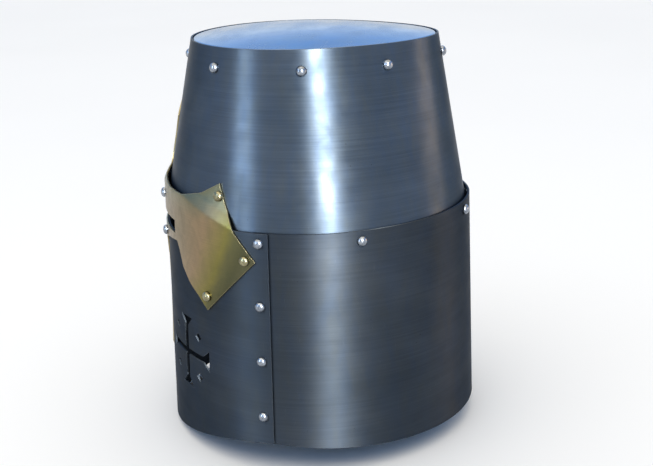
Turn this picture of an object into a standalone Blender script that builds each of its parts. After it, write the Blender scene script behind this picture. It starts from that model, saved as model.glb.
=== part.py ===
"""A great helm: a flat-topped steel helmet of riveted plates with a brass cross over the eye slits.

Frame: metres, +Z up, the face looks along -Y and the wearer's left is +X. The origin is on the
level that the lowest point of the rim rests on, at the middle of the head.

Every plate is cut flat, as a smith cuts it: a slab in (arc, depth, height) with its holes and its
outline cut by Booleans, and then rolled round the helm by roll(). A rivet stands on the same
surface, so its holes in each plate line up.
"""

import math

import bmesh
import bpy
from mathutils import Matrix, Vector

# Driving dimensions of the form
RIM_Z = 0.024            # rim height at the side seam; the rim dips from there to front and rear
FRONT_DIP = 0.024
REAR_DIP = 0.009
BROW_Z = 0.1945          # top edge of the rear plate, where the skull starts
TOP_Z = 0.3210
CROWN_RISE = 0.0060
CROWN_FLAT = 0.36        # share of the crown's plan that is flat, at its middle

# Plan outlines: half length, half width, and how much wider they are towards the face
RIM_PLAN = Vector((0.1315, 0.1245, 0.045))
BROW_PLAN = Vector((0.1250, 0.1164, 0.045))
TOP_PLAN = Vector((0.0964, 0.0800, 0.130))
PLAN_POWER = 1.93

SHEET = 0.0015           # steel plate
BRASS_SHEET = 0.0012
LEATHER = 0.0022
GAP = 0.0003             # between neighbouring pieces
HOLE_CLEARANCE = 0.0003

# Depths of the lapped plates, measured inwards from the face plate's outer side
FACE_DEPTH = 0.0
REAR_DEPTH = FACE_DEPTH + SHEET + GAP
SKULL_DEPTH = REAR_DEPTH + SHEET + GAP
BRASS_DEPTH = -(BRASS_SHEET + GAP)
CROWN_DEPTH = SHEET + GAP    # below the skull's outer side

# Arc lengths are measured round the brow from the middle of the face, heights from the rest level
SIDE_EDGE = 0.1650       # rear edge of the face plate
SIDE_LAP = 0.0125        # how far the rear plate runs on under it
SKULL_SLACK = 0.0024     # how far the skull stands off the rear plate at the nape
FACE_TOP_Z = 0.2105      # top of the face plate over the eyes
FACE_TOP_HALF = 0.0800   # half the length of that raised stretch
FACE_SLOPE_END = 0.1370
SKULL_LAP = 0.0180       # how far the skull runs down inside the lower plates
CROWN_FLANGE = 0.0260

SLIT_Z = 0.1828
SLIT_HEIGHT = 0.0108
SLIT_INNER = 0.0110
SLIT_OUTER = 0.0665

CROSS_ARC = 0.0780       # centre of each breath cross
CROSS_Z = 0.0810
CROSS_REACH = 0.0305
CROSS_BAR = 0.0052
CROSS_SERIF = 0.0180
DOT_OFFSET = 0.0175
DOT_SIZE = 0.0056

RIVET_HEAD = 0.0040      # radius of a rivet's domed head
RIVET_RISE = 0.0034
RIVET_SHANK = 0.0019
RIVET_TAIL = 0.0034
RIVET_TAIL_RISE = 0.0012

CROWN_RIVETS = 8
CROWN_RIVET_Z = 0.3065
BROW_RIVET_Z = 0.1870
SIDE_RIVET_ARC = 0.1575
SIDE_RIVET_ZS = (0.1380, 0.0935, 0.0470)
REAR_RIVET_ARCS = (0.2350, 0.3480)
# Rivets through the brass: those at the corners of its arms are brass, the inner ones steel
ARM_RIVETS = {"top": (0.1195, 0.2170), "point": (0.1467, 0.1730), "low": (0.1107, 0.1380)}
INNER_RIVETS = {"brow": (0.0310, 0.2010), "cheek": (0.0360, 0.1710)}

LINER_GAP = 0.0008
BAND_TOP = 0.2450        # the liner's headband
BAND_FRONT_LOW = 0.2030
BAND_REAR_LOW = 0.1790
TONGUES = 8
CAP_GAP = 0.0018
CAP_RISE = 0.0650

CHAPE = 0.0020           # leather of the chapes that hold the strap rings
CHAPE_WIDTH = 0.0160
CHAPE_GAP = 0.0010       # room for the flat chape inside the curved wall
STRAP = 0.0022
STRAP_WIDTH = 0.0180
RING_TOP_Z = 0.1660      # upper and lower bars of the strap rings
RING_LOW_Z = 0.1520
RING_HALF = 0.0125
RING_WIRE = 0.0012
BAR_ROOM = 0.0016        # inner radius of a fold of leather round a bar
BUCKLE_Z = 0.0660
BUCKLE_DROP = 0.0180
PRONG_WIRE = 0.0010
PRONG_SLOT = 0.0019      # half the width of the strap's slot for the prong
STRAP_TIP_Z = 0.0360
STRAP_TAIL = 0.0140      # length of a strap's turned-over end
CHAPE_TAIL = 0.0030
CHAPE_OVER_RIVET = 0.0060
RING_NIP = 0.0020        # how much is cut off a wire loop's corners

COLUMN_STEP = 0.0080     # width of the facets along a plate


# --- The helm's surfaces -----------------------------------------------------------------------

def plan_radius(angle, plan):
    """Distance from the axis to a plan outline, with angle 0 at the face and 90 degrees at +X."""
    half_length, half_width, egg = plan
    side = half_width * (1 + egg * math.cos(angle))
    return (abs(math.cos(angle) / half_length) ** PLAN_POWER
            + abs(math.sin(angle) / side) ** PLAN_POWER) ** (-1 / PLAN_POWER)


def outline_point(angle, plan, depth):
    """A point on a plan outline, moved inwards by depth along the outline's normal."""
    def at(a):
        r = plan_radius(a, plan)
        return Vector((r * math.sin(a), -r * math.cos(a)))
    step = 1e-4
    tangent = (at(angle + step) - at(angle - step)).normalized()
    outward = Vector((tangent.y, -tangent.x))
    if outward.dot(at(angle)) < 0:
        outward.negate()
    return at(angle) - depth * outward


def arc_table(count=1440):
    """Arc length round the brow at evenly spaced angles from 0 to 180 degrees."""
    lengths = [0.0]
    last = outline_point(0, BROW_PLAN, 0)
    for i in range(1, count + 1):
        here = outline_point(math.pi * i / count, BROW_PLAN, 0)
        lengths.append(lengths[-1] + (here - last).length)
        last = here
    return lengths


ARCS = arc_table()
HALF_ROUND = ARCS[-1]


def angle_of(arc):
    """The plan angle at an arc length round the brow, which may run past the rear centre."""
    turns, rest = divmod(abs(arc), 2 * HALF_ROUND)
    mirrored = rest > HALF_ROUND
    rest = 2 * HALF_ROUND - rest if mirrored else rest
    high = next(i for i, length in enumerate(ARCS) if length >= rest)
    low = max(high - 1, 0)
    span = ARCS[high] - ARCS[low]
    share = (rest - ARCS[low]) / span if span else 0.0
    angle = math.pi * (low + share) / (len(ARCS) - 1)
    angle = 2 * math.pi * (turns + 1) - angle if mirrored else angle + 2 * math.pi * turns
    return math.copysign(angle, arc)


def arc_at(angle):
    """The arc length at a plan angle from 0 to 360 degrees, negative on the wearer's right."""
    rest = min(angle, 2 * math.pi - angle)
    arc = ARCS[round(rest / math.pi * (len(ARCS) - 1))]
    return arc if angle <= math.pi else -arc


def lower_wall(arc, depth, z):
    """The face and rear plates' wall: straight from the rim to the brow, and on in line above it."""
    share = (z - RIM_Z) / (BROW_Z - RIM_Z)
    point = outline_point(angle_of(arc), RIM_PLAN.lerp(BROW_PLAN, share), depth)
    return Vector((point.x, point.y, z))


def skull_depth(arc):
    """How far the skull's foot lies inside the face plate's outer side: a little slack at the nape."""
    past = max(folded(arc) - 0.25, 0.0) / (HALF_ROUND - 0.25)
    return SKULL_DEPTH + SKULL_SLACK * past ** 2 * (3 - 2 * past)


def skull_wall(arc, depth, z):
    """The skull's wall: inside the lower plates up to their top edge, then a cone to the crown.

    Depth is measured from the skull's own outer side.
    """
    kink = face_top(arc)
    if z <= kink:
        return lower_wall(arc, skull_depth(arc) + depth, z)
    share = (z - kink) / (TOP_Z - kink)
    foot = lower_wall(arc, skull_depth(arc) + depth, kink)
    top = outline_point(angle_of(arc), TOP_PLAN, depth)
    return foot.lerp(Vector((top.x, top.y, TOP_Z)), share)


def brass_wall(arc, depth, z):
    """The brass lies on the face plate, and above that plate's top edge it comes in to the skull."""
    on_plate = lower_wall(arc, BRASS_DEPTH + depth, z)
    edge = face_top(arc)
    if z <= edge:
        return on_plate
    share = min((z - edge) / 0.010, 1.0)
    return on_plate.lerp(skull_wall(arc, BRASS_DEPTH + depth, z), share)


def folded(arc):
    """The same arc length measured the short way round from the middle of the face."""
    rest = abs(arc) % (2 * HALF_ROUND)
    return min(rest, 2 * HALF_ROUND - rest)


def face_top(arc):
    """Height of the face plate's top edge: raised over the eyes, and down to the brow at the sides."""
    past = (folded(arc) - FACE_TOP_HALF) / (FACE_SLOPE_END - FACE_TOP_HALF)
    return FACE_TOP_Z + min(max(past, 0.0), 1.0) * (BROW_Z - FACE_TOP_Z)


def rim(arc):
    """Height of the rim: it dips to a soft point under the chin and a little at the nape."""
    short = folded(arc)
    if short < SIDE_EDGE:
        return RIM_Z - FRONT_DIP * math.cos(math.pi / 2 * short / SIDE_EDGE) ** 1.7
    past = (HALF_ROUND - short) / (HALF_ROUND - SIDE_EDGE)
    return RIM_Z - REAR_DIP * (1 - past ** 2)


# --- Cutting flat sheets and rolling them ------------------------------------------------------

def material(name, colour, roughness, metallic):
    made = bpy.data.materials.new(name)
    made.use_nodes = True
    shader = made.node_tree.nodes["Principled BSDF"]
    shader.inputs["Base Color"].default_value = (*colour, 1)
    shader.inputs["Roughness"].default_value = roughness
    shader.inputs["Metallic"].default_value = metallic
    return made


def add_object(name, bm, finish=None):
    mesh = bpy.data.meshes.new(name)
    bm.to_mesh(mesh)
    bm.free()
    obj = bpy.data.objects.new(name, mesh)
    bpy.context.scene.collection.objects.link(obj)
    if finish:
        mesh.materials.append(finish)
        mesh.shade_smooth()
        mesh.set_sharp_from_angle(angle=math.radians(30))
    return obj


def flat_sheet(name, arcs, rows, thickness):
    """A slab over arc lengths and rows of heights, with its outer side at depth 0.

    A row is a function that gives its height at an arc length.
    """
    bm = bmesh.new()
    outer, inner = [[[bm.verts.new((s, depth, row(s))) for row in rows] for s in arcs]
                    for depth in (0.0, thickness)]
    columns, last = len(arcs) - 1, len(rows) - 1
    for i in range(columns):
        for j in range(last):
            bm.faces.new((outer[i][j], outer[i + 1][j], outer[i + 1][j + 1], outer[i][j + 1]))
            bm.faces.new((inner[i][j], inner[i][j + 1], inner[i + 1][j + 1], inner[i + 1][j]))
        for j in (0, last):
            bm.faces.new((outer[i][j], inner[i][j], inner[i + 1][j], outer[i + 1][j]))
    for j in range(last):
        for i in (0, columns):
            bm.faces.new((outer[i][j], outer[i][j + 1], inner[i][j + 1], inner[i][j]))
    bmesh.ops.recalc_face_normals(bm, faces=bm.faces)
    return add_object(name, bm)


def prism(name, outline, near, far):
    """A cutter: an outline of (arc, height) points, extruded through depths near to far."""
    bm = bmesh.new()
    front = [bm.verts.new((s, near, z)) for s, z in outline]
    back = [bm.verts.new((s, far, z)) for s, z in outline]
    bm.faces.new(front)
    bm.faces.new(back)
    for i in range(len(outline)):
        k = (i + 1) % len(outline)
        bm.faces.new((front[i], front[k], back[k], back[i]))
    bmesh.ops.recalc_face_normals(bm, faces=bm.faces)
    cutter = add_object(name, bm)
    cutter.hide_render = True
    cutter.display_type = "WIRE"
    return cutter


def cut(sheet, cutter, operation="DIFFERENCE"):
    """Applies one Boolean to a flat sheet and removes the cutter."""
    boolean = sheet.modifiers.new("cut", "BOOLEAN")
    boolean.operation = operation
    boolean.object = cutter
    bpy.context.view_layer.update()
    graph = bpy.context.evaluated_depsgraph_get()
    mesh = bpy.data.meshes.new_from_object(sheet.evaluated_get(graph))
    sheet.modifiers.clear()
    sheet.data = mesh
    bpy.data.objects.remove(cutter)


def roll(sheet, wall, finish, closed=False):
    """Bends a flat sheet round the helm: each point goes from (arc, depth, height) to its wall."""
    bm = bmesh.new()
    bm.from_mesh(sheet.data)
    name = sheet.name
    bpy.data.objects.remove(sheet)
    if closed:
        ends = [f for f in bm.faces if all(abs(abs(v.co.x) - HALF_ROUND) < 1e-6 for v in f.verts)]
        bmesh.ops.delete(bm, geom=ends, context="FACES_ONLY")
    bmesh.ops.triangulate(bm, faces=bm.faces)
    for vertex in bm.verts:
        vertex.co = wall(vertex.co.x, vertex.co.y, vertex.co.z)
    if closed:
        bmesh.ops.remove_doubles(bm, verts=bm.verts, dist=1e-5)
    bmesh.ops.recalc_face_normals(bm, faces=bm.faces)
    return add_object(name, bm, finish)


def spaced(low, high, step):
    count = max(round((high - low) / step), 1)
    return [low + (high - low) * i / count for i in range(count + 1)]


# --- Outlines of the cut-outs, in (arc, height) -------------------------------------------------

def slit_outline(side):
    inner, outer = sorted((side * SLIT_INNER, side * SLIT_OUTER))
    low, high = SLIT_Z - SLIT_HEIGHT / 2, SLIT_Z + SLIT_HEIGHT / 2
    return [(inner, low), (outer, low), (outer, high), (inner, high)]


def cross_outline(arc):
    """A cross whose four arms end in wide triangular serifs."""
    bar, reach, serif = CROSS_BAR / 2, CROSS_REACH, CROSS_SERIF / 2
    arm = [(bar, bar), (bar, reach - 0.0075), (serif, reach), (-serif, reach),
           (-bar, reach - 0.0075)]
    points = []
    for quarter in range(4):
        turn = Matrix.Rotation(quarter * math.pi / 2, 2)
        points += [turn @ Vector(p) for p in arm]
    return [(arc + p.x, CROSS_Z + p.y) for p in points]


def dot_outlines(arc):
    half = DOT_SIZE / math.sqrt(2)
    for across in (-DOT_OFFSET, DOT_OFFSET):
        for up in (-DOT_OFFSET, DOT_OFFSET):
            yield [(arc + across + half * x, CROSS_Z + up + half * y)
                   for x, y in ((1, 0), (0, 1), (-1, 0), (0, -1))]


def brass_outline():
    """The brass cross: from its lower tip round the wearer's left arm to its upper tip, mirrored."""
    half = [
        (0.0000, 0.0480), (0.0170, 0.0620), (0.0125, 0.0800), (0.0100, 0.1100), (0.0120, 0.1400),
        (0.0210, 0.1580), (0.0340, 0.1655), (0.0500, 0.1698), (0.0700, 0.1725), (0.0745, 0.1660),
        (0.0795, 0.1540), (0.0895, 0.1435), (0.1010, 0.1355), (0.1105, 0.1265), (0.1550, 0.1725),
        (0.1385, 0.1925), (0.1265, 0.2110), (0.1190, 0.2262), (0.1000, 0.2165), (0.0800, 0.2122),
        (0.0550, 0.2122), (0.0250, 0.2150), (0.0120, 0.2240), (0.0100, 0.2450), (0.0150, 0.2600),
        (0.0000, 0.2720),
    ]
    return half + [(-s, z) for s, z in reversed(half[1:-1])]


# --- Rivets -----------------------------------------------------------------------------------

def surface_frame(wall, arc, z):
    """Where a rivet stands on a wall: the point on its outer side, and the way out of it."""
    point = wall(arc, 0.0, z)
    along = wall(arc + 0.001, 0.0, z) - wall(arc - 0.001, 0.0, z)
    up = wall(arc, 0.0, z + 0.001) - wall(arc, 0.0, z - 0.001)
    outward = along.cross(up).normalized()
    if outward.dot(point - Vector((0, 0, point.z))) < 0:
        outward.negate()
    return point, outward


def face_wall(arc, depth, z):
    return lower_wall(arc, FACE_DEPTH + depth, z)


def rear_wall(arc, depth, z):
    return lower_wall(arc, REAR_DEPTH + depth, z)


def mirrored(places):
    return [(side * arc, z) for arc, z in places for side in (1, -1)]


def crown_arcs():
    """Arc lengths that bring the crown's rivets to even angles round the axis."""
    return [arc_at(2 * math.pi * i / CROWN_RIVETS) for i in range(CROWN_RIVETS)]


def rivet_places():
    """Every rivet: name, wall it stands on, arc length, height and grip through the plates."""
    plates = 2 * SHEET + GAP
    brass_on_plate = BRASS_SHEET + GAP + SHEET
    liner = LINER_GAP + LEATHER
    corner = plates + GAP + SHEET + CHAPE_GAP + CHAPE
    places = [(f"crown_rivet_{i + 1}", skull_wall, arc, CROWN_RIVET_Z, plates)
              for i, arc in enumerate(crown_arcs())]
    for side, word in ((1, "left"), (-1, "right")):
        for spot, (arc, z) in {**ARM_RIVETS, **INNER_RIVETS}.items():
            grip = brass_on_plate + (liner if spot == "top" else 0)
            places.append((f"{word}_brass_rivet_{spot}", brass_wall, side * arc, z, grip))
        heights = (BROW_RIVET_Z, *SIDE_RIVET_ZS)
        for i, z in enumerate(heights):
            grip = plates if i else corner
            places.append((f"{word}_seam_rivet_{i + 1}", face_wall, side * SIDE_RIVET_ARC, z, grip))
        for i, arc in enumerate(REAR_RIVET_ARCS):
            grip = skull_depth(arc) - REAR_DEPTH + SHEET + liner
            places.append((f"{word}_rear_rivet_{i + 1}", rear_wall, side * arc, BROW_RIVET_Z, grip))
    return places


def turned(profile, sides):
    """A closed body turned about Z from (radius, height) points that start and end on the axis."""
    bm = bmesh.new()
    rings = []
    for radius, z in profile:
        if radius == 0:
            rings.append([bm.verts.new((0, 0, z))])
            continue
        rings.append([bm.verts.new((radius * math.cos(2 * math.pi * i / sides),
                                    radius * math.sin(2 * math.pi * i / sides), z))
                      for i in range(sides)])
    for low, high in zip(rings, rings[1:]):
        for i in range(sides):
            k = (i + 1) % sides
            corners = [low[i % len(low)], low[k % len(low)], high[k % len(high)], high[i % len(high)]]
            bm.faces.new(list(dict.fromkeys(corners)))
    bmesh.ops.recalc_face_normals(bm, faces=bm.faces)
    return bm


def make_rivets(steel, brass):
    for name, wall, arc, z, grip in rivet_places():
        point, outward = surface_frame(wall, arc, z)
        inside = -(grip + GAP)
        dome = [(RIVET_HEAD * math.cos(math.radians(a)),
                 GAP + RIVET_RISE * math.sin(math.radians(a))) for a in (0, 30, 60)]
        profile = [(0, inside - RIVET_TAIL_RISE), (RIVET_TAIL * 0.7, inside - RIVET_TAIL_RISE),
                   (RIVET_TAIL, inside), (RIVET_SHANK, inside), (RIVET_SHANK, GAP), *dome,
                   (0, GAP + RIVET_RISE)]
        on_arm = wall is brass_wall and name.rsplit("_", 1)[1] in ARM_RIVETS
        rivet = add_object(name, turned(profile, 12), brass if on_arm else steel)
        rivet.matrix_world = standing(point, outward)


def standing(point, outward):
    """The matrix that puts a body made along Z at a point, pointing outward."""
    return Matrix.Translation(point) @ outward.to_track_quat("Z", "Y").to_matrix().to_4x4()


def drill(plate):
    """Cuts a clearance hole through the plate along each rivet that crosses it."""
    holes = bmesh.new()
    over = 0.001
    for _, wall, arc, z, grip in rivet_places():
        point, outward = surface_frame(wall, arc, z)
        radius = RIVET_SHANK + HOLE_CLEARANCE
        made = bmesh.ops.create_cone(holes, cap_ends=True, segments=12, radius1=radius,
                                     radius2=radius, depth=grip + 2 * over)
        bmesh.ops.transform(holes, matrix=standing(point - outward * grip / 2, outward),
                            verts=made["verts"])
    cut(plate, add_object("holes", holes))


# --- The plates --------------------------------------------------------------------------------

def plate_arcs(low, high):
    count = round((high - low) / COLUMN_STEP)
    return [low + (high - low) * i / count for i in range(count + 1)]


def level(z):
    return lambda arc: z


def make_face_plate(steel):
    arcs = plate_arcs(-SIDE_EDGE, SIDE_EDGE)
    sheet = flat_sheet("face_plate", arcs, (rim, face_top), SHEET)
    for side in (1, -1):
        centre = side * CROSS_ARC
        for outline in (slit_outline(side), cross_outline(centre), *dot_outlines(centre)):
            cut(sheet, prism("cutter", outline, -0.001, SHEET + 0.001))
    plate = roll(sheet, face_wall, steel)
    drill(plate)


def make_rear_plate(steel):
    start = SIDE_EDGE - SIDE_LAP
    arcs = plate_arcs(start, 2 * HALF_ROUND - start)
    plate = roll(flat_sheet("rear_plate", arcs, (rim, level(BROW_Z)), SHEET), rear_wall, steel)
    drill(plate)


def make_skull_plate(steel):
    arcs = plate_arcs(-HALF_ROUND, HALF_ROUND)
    rows = (level(BROW_Z - SKULL_LAP), face_top, level(TOP_Z))
    sheet = flat_sheet("skull_plate", arcs, rows, SHEET)
    above = SLIT_Z + SLIT_HEIGHT / 2 + 0.002
    below = BROW_Z - SKULL_LAP - 0.001
    reach = SLIT_OUTER + 0.004
    notch = [(-reach, below), (reach, below), (reach, above), (-reach, above)]
    cut(sheet, prism("notch", notch, -0.001, SHEET + 0.001))
    plate = roll(sheet, skull_wall, steel, closed=True)
    drill(plate)


def make_crown_plate(steel):
    """A shallow dome with a flange turned down inside the skull's top."""
    arcs = plate_arcs(-HALF_ROUND, HALF_ROUND)[:-1]
    bm = bmesh.new()

    def rings(depth):
        edge = CROWN_DEPTH + depth
        made = [[skull_wall(s, edge, TOP_Z - CROWN_FLANGE) for s in arcs],
                [skull_wall(s, edge, TOP_Z - 0.0025) for s in arcs],
                [skull_wall(s, edge + 0.0008, TOP_Z - 0.0008) for s in arcs]]
        top = [skull_wall(s, edge + 0.0024, TOP_Z) for s in arcs]
        for share in (1.0, 0.70, CROWN_FLAT):
            rise = CROWN_RISE * (1 - share ** 2) / (1 - CROWN_FLAT ** 2)
            made.append([Vector((p.x * share, p.y * share, TOP_Z - depth + rise)) for p in top])
        return made, Vector((0, 0, TOP_Z - depth + CROWN_RISE))

    skins = []
    for depth in (0.0, SHEET):
        made, centre = rings(depth)
        loops = [[bm.verts.new(p) for p in ring] for ring in made]
        middle = bm.verts.new(centre)
        for low, high in zip(loops, loops[1:]):
            for i in range(len(arcs)):
                k = (i + 1) % len(arcs)
                bm.faces.new((low[i], low[k], high[k], high[i]))
        for i in range(len(arcs)):
            bm.faces.new((loops[-1][i], loops[-1][(i + 1) % len(arcs)], middle))
        skins.append(loops[0])
    for i in range(len(arcs)):
        k = (i + 1) % len(arcs)
        bm.faces.new((skins[0][i], skins[0][k], skins[1][k], skins[1][i]))
    bmesh.ops.triangulate(bm, faces=bm.faces)
    bmesh.ops.recalc_face_normals(bm, faces=bm.faces)
    drill(add_object("crown_plate", bm, steel))


def make_brass_cross(brass):
    arcs = plate_arcs(-SIDE_EDGE, SIDE_EDGE)
    rows = [level(0.04), lambda s: face_top(s) - 0.0002, lambda s: face_top(s) + 0.0100, level(0.28)]
    sheet = flat_sheet("brass_cross", arcs, rows, BRASS_SHEET)
    cut(sheet, prism("blank", brass_outline(), -0.001, BRASS_SHEET + 0.001), "INTERSECT")
    for side in (1, -1):
        cut(sheet, prism("slit", slit_outline(side), -0.001, BRASS_SHEET + 0.001))
    drill(roll(sheet, brass_wall, brass))


# --- The leather liner -------------------------------------------------------------------------

def liner_wall(arc, depth, z):
    return skull_wall(arc, SHEET + LINER_GAP + depth, z)


def band_low(arc):
    """The headband's lower edge: clear of the eyes in front, and down to the rivets at the rear."""
    past = min(max((folded(arc) - 0.185) / 0.030, 0.0), 1.0)
    return BAND_FRONT_LOW + past * (BAND_REAR_LOW - BAND_FRONT_LOW)


def make_liner_band(leather):
    arcs = plate_arcs(-HALF_ROUND + 0.001, HALF_ROUND - 0.001)
    rows = (band_low, face_top_or(band_low), level(BAND_TOP))
    drill(roll(flat_sheet("liner_band", arcs, rows, LEATHER), liner_wall, leather))


def face_top_or(low):
    """The row where the skull bends, or a little above the band's own lower edge."""
    return lambda arc: max(face_top(arc), low(arc) + 0.004)


def make_liner_cap(leather):
    """A cap of tapering tongues on a continuous hem, gathered at the top by a thong."""
    bm = bmesh.new()
    columns, rows = 6, 7
    grid = []
    for tongue in range(TONGUES):
        centre = 2 * math.pi * (tongue + 0.5) / TONGUES
        for i in range(columns + 1):
            column = []
            for j in range(rows + 1):
                rise = j / rows
                narrow = 1 - 0.45 * max(rise - 0.2, 0.0) / 0.8
                angle = centre + math.pi / TONGUES * 0.93 * narrow * (2 * i / columns - 1)
                column.append(bm.verts.new(cap_point(angle, rise)))
            grid.append(column)
    for i, left in enumerate(grid):
        right = grid[(i + 1) % len(grid)]
        between = i % (columns + 1) == columns
        for j in range(1 if between else rows):
            bm.faces.new((left[j], right[j], right[j + 1], left[j + 1]))
    cap = add_object("liner_cap", bm, leather)
    skin = cap.modifiers.new("thickness", "SOLIDIFY")
    skin.thickness = LEATHER
    skin.offset = -1


def cap_point(angle, rise):
    """The cap's outer side: up the band's inside and over towards the crown, ending at the thong."""
    foot = liner_wall(arc_at(angle), LEATHER + CAP_GAP, BAND_TOP - 0.010)
    bend = math.pi / 2 * rise * 0.88
    out = math.cos(bend)
    up = math.sin(bend)
    return Vector((foot.x * out, foot.y * out, foot.z + CAP_RISE * up))


def ring_wire(name, corners, radius, finish, closed=True, resolution=3):
    """A bent wire: a curve through the corners, bevelled round."""
    curve = bpy.data.curves.new(name, "CURVE")
    curve.dimensions = "3D"
    curve.bevel_depth = radius
    curve.bevel_resolution = resolution
    curve.use_fill_caps = True
    spline = curve.splines.new("POLY")
    spline.points.add(len(corners) - 1)
    for point, corner in zip(spline.points, corners):
        point.co = (*corner, 1)
    spline.use_cyclic_u = closed
    curve.materials.append(finish)
    wire = bpy.data.objects.new(name, curve)
    bpy.context.scene.collection.objects.link(wire)
    return wire


def make_liner_thong(leather):
    """The thong ring under the tongues' tips."""
    count = 24
    tip = cap_point(0, 1.0)
    radius = abs(tip.y) - 0.004
    points = [(radius * math.sin(2 * math.pi * i / count), -radius * math.cos(2 * math.pi * i / count),
               tip.z - LEATHER - 0.0030) for i in range(count)]
    ring_wire("liner_thong", points, 0.0014, leather)


# --- The chin straps ---------------------------------------------------------------------------

def hanger_at(side):
    """Where one side's strap hangs: the corner rivet's point, and the inward and along directions."""
    point, outward = surface_frame(face_wall, side * SIDE_RIVET_ARC, BROW_RIVET_Z)
    inward = Vector((-outward.x, -outward.y, 0)).normalized()
    along = Vector((0, 0, 1)).cross(inward)
    return point, inward, along


def spot(hanger, inward_by, along_by, z):
    point, inward, along = hanger
    at = point + inward * inward_by + along * along_by
    return Vector((at.x, at.y, z))


def hang_from(piece, axis_point):
    """Moves a turning piece's origin on to its joint's axis."""
    piece.data.transform(Matrix.Translation(-axis_point))
    piece.location = axis_point


def folded_strip(name, hanger, path, thickness, width, finish):
    """A strip of leather folded along a path of (inward, height) points and extruded to its width."""
    left, right = [], []
    for i, here in enumerate(path):
        before = Vector(path[max(i - 1, 0)])
        after = Vector(path[min(i + 1, len(path) - 1)])
        run = (after - before).normalized()
        normal = Vector((-run.y, run.x)) * thickness / 2
        left.append(Vector(here) + normal)
        right.append(Vector(here) - normal)
    outline = left + right[::-1]
    bm = bmesh.new()
    sides = [[bm.verts.new(spot(hanger, p.x, across, p.y)) for p in outline]
             for across in (-width / 2, width / 2)]
    bm.faces.new(sides[0])
    bm.faces.new(sides[1])
    for i in range(len(outline)):
        k = (i + 1) % len(outline)
        bm.faces.new((sides[0][i], sides[0][k], sides[1][k], sides[1][i]))
    bmesh.ops.recalc_face_normals(bm, faces=bm.faces)
    return add_object(name, bm, finish)


def fold(centre, radius, start, stop, steps=8):
    """Points of a fold round a bar: an arc in (inward, height) between two angles in degrees."""
    return [(centre[0] + radius * math.cos(math.radians(start + (stop - start) * i / steps)),
             centre[1] + radius * math.sin(math.radians(start + (stop - start) * i / steps)))
            for i in range(steps + 1)]


def loop_corners(hanger, inward_by, low, high, half):
    """A rectangular wire loop with cut corners, standing in the plane of the strap."""
    nip = RING_NIP
    shape = [(-half + nip, high), (half - nip, high), (half, high - nip), (half, low + nip),
             (half - nip, low), (-half + nip, low), (-half, low + nip), (-half, high - nip)]
    return [spot(hanger, inward_by, across, z) for across, z in shape]


def box_cutter(hanger, inward, across, heights):
    bm = bmesh.new()
    corners = [bm.verts.new(spot(hanger, d, a, z)) for d in inward for a in across for z in heights]
    for face in ((0, 1, 3, 2), (4, 5, 7, 6), (0, 1, 5, 4), (2, 3, 7, 6), (0, 2, 6, 4), (1, 3, 7, 5)):
        bm.faces.new([corners[i] for i in face])
    bmesh.ops.recalc_face_normals(bm, faces=bm.faces)
    return add_object("cutter", bm)


def make_chin_strap(side, leather, steel):
    """One side's chape, ring and strap; the left strap carries the buckle and its prong."""
    word = "left" if side > 0 else "right"
    hanger = hanger_at(side)
    back = SKULL_DEPTH + SHEET + CHAPE_GAP + CHAPE / 2      # middle of the chape's riveted layer
    bar = back + CHAPE / 2 + BAR_ROOM                # how far in the bars hang
    loop = BAR_ROOM + CHAPE / 2                      # radius of a fold's middle line
    ring_axis = spot(hanger, bar, 0, RING_TOP_Z)

    chape = [(back, BROW_RIVET_Z + CHAPE_OVER_RIVET), (back, RING_TOP_Z)] + \
        fold((bar, RING_TOP_Z), loop, 180, 360)[1:] + [(bar + loop, RING_TOP_Z + CHAPE_TAIL)]
    drill(folded_strip(f"{word}_chape", hanger, chape, CHAPE, CHAPE_WIDTH, leather))
    corners = loop_corners(hanger, bar, RING_LOW_Z, RING_TOP_Z, RING_HALF)
    hang_from(ring_wire(f"{word}_ring", corners, RING_WIRE, steel), ring_axis)

    upper = [(bar + loop, RING_LOW_Z - STRAP_TAIL)] + fold((bar, RING_LOW_Z), loop, 0, 180)
    hang = bar - loop
    if side < 0:
        path = upper + [(hang, STRAP_TIP_Z)]
        strap = folded_strip("right_strap", hanger, path, STRAP, STRAP_WIDTH, leather)
        hang_from(strap, ring_axis)
        return
    path = upper + fold((bar, BUCKLE_Z), loop, 180, 360) + [(bar + loop, BUCKLE_Z + STRAP_TAIL)]
    strap = folded_strip("left_strap", hanger, path, STRAP, STRAP_WIDTH, leather)
    window = box_cutter(hanger, (hang - STRAP, bar + loop + STRAP), (-PRONG_SLOT, PRONG_SLOT),
                        (BUCKLE_Z - 0.008, BUCKLE_Z + 0.006))
    cut(strap, window)
    hang_from(strap, ring_axis)

    buckle_axis = spot(hanger, bar, 0, BUCKLE_Z)
    corners = loop_corners(hanger, bar, BUCKLE_Z - BUCKLE_DROP, BUCKLE_Z, RING_HALF)
    hang_from(ring_wire("buckle_frame", corners, RING_WIRE, steel), buckle_axis)
    eye = fold((bar, BUCKLE_Z), RING_WIRE + PRONG_WIRE + GAP, 150, -18, 7)
    turns = [spot(hanger, inward, 0, z) for inward, z in eye]
    tip = spot(hanger, bar + 2 * RING_WIRE + PRONG_WIRE, 0, BUCKLE_Z - BUCKLE_DROP - 0.0015)
    prong = ring_wire("buckle_prong", turns + [tip], PRONG_WIRE, steel, closed=False, resolution=2)
    hang_from(prong, buckle_axis)


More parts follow.
